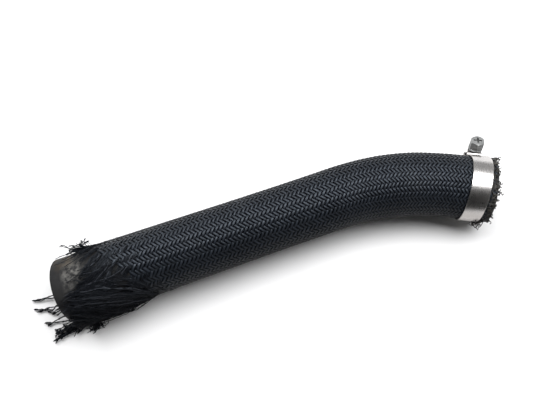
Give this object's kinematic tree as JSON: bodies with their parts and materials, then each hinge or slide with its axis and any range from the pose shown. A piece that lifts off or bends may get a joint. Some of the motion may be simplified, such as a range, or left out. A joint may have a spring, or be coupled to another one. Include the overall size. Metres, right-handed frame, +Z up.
{
  "type": "sleeved rubber hose with worm-drive clamp",
  "caption": "Moulded rubber hose with one gentle bend, in a braided yarn sleeve frayed at the open mouth, with a worm-drive band clamp near its other end.",
  "frame": {"origin": "middle of the footprint, on the ground that the hose lies on", "axes": "+X along the straight clamped end, away from the mouth; +Z up; the bend lies flat in the XY plane"},
  "size_m": [0.3, 0.1706, 0.0462],
  "materials": {
    "rubber": "matte, dusty, slightly worn at the mouth",
    "ply_yarn": "plain textile ply between the rubber layers",
    "sleeve_yarn": "blue-black multifilament yarn, two over two braid, soft sheen",
    "stainless": "bright rolled stainless strip with fine wear",
    "zinc": "dull grey zinc plating"
  },
  "bodies": {
    "hose": {"hose_liner": "rubber", "hose_reinforcement": "ply_yarn", "hose_cover": "rubber", "braided_sleeve": "sleeve_yarn", "frayed_sleeve_end": "sleeve_yarn", "frayed_sleeve_rim": "sleeve_yarn", "loose_yarn_far": "sleeve_yarn", "loose_yarn_near": "sleeve_yarn", "loose_yarn_mouth": "sleeve_yarn"},
    "clamp": {"clamp_band": "stainless", "clamp_saddle": "stainless", "clamp_housing": "stainless"},
    "screw": {"clamp_screw": "zinc"},
    "tail": {"band_tail": "stainless"}
  },
  "joints": [
    {"name": "clamp_slide", "type": "slide", "parent": "hose", "child": "clamp", "axis": [-1, 0, 0], "range_m": [-0.004, 0.012]},
    {"name": "screw_turn", "type": "hinge", "parent": "clamp", "child": "screw", "pos_m": [0.13896, 0.07356, 0.00976], "axis": [0, 0.454, 0.891], "range_deg": [-750, 1050]},
    {"name": "tail_feed", "type": "hinge", "parent": "clamp", "child": "tail", "pos_m": [0.13896, 0.05004, 0.02175], "axis": [1, 0, 0], "range_deg": [-19, 13.5]}
  ],
  "couplings": [
    {"joint": "tail_feed", "follows": "screw_turn", "ratio": -0.01709}
  ]
}
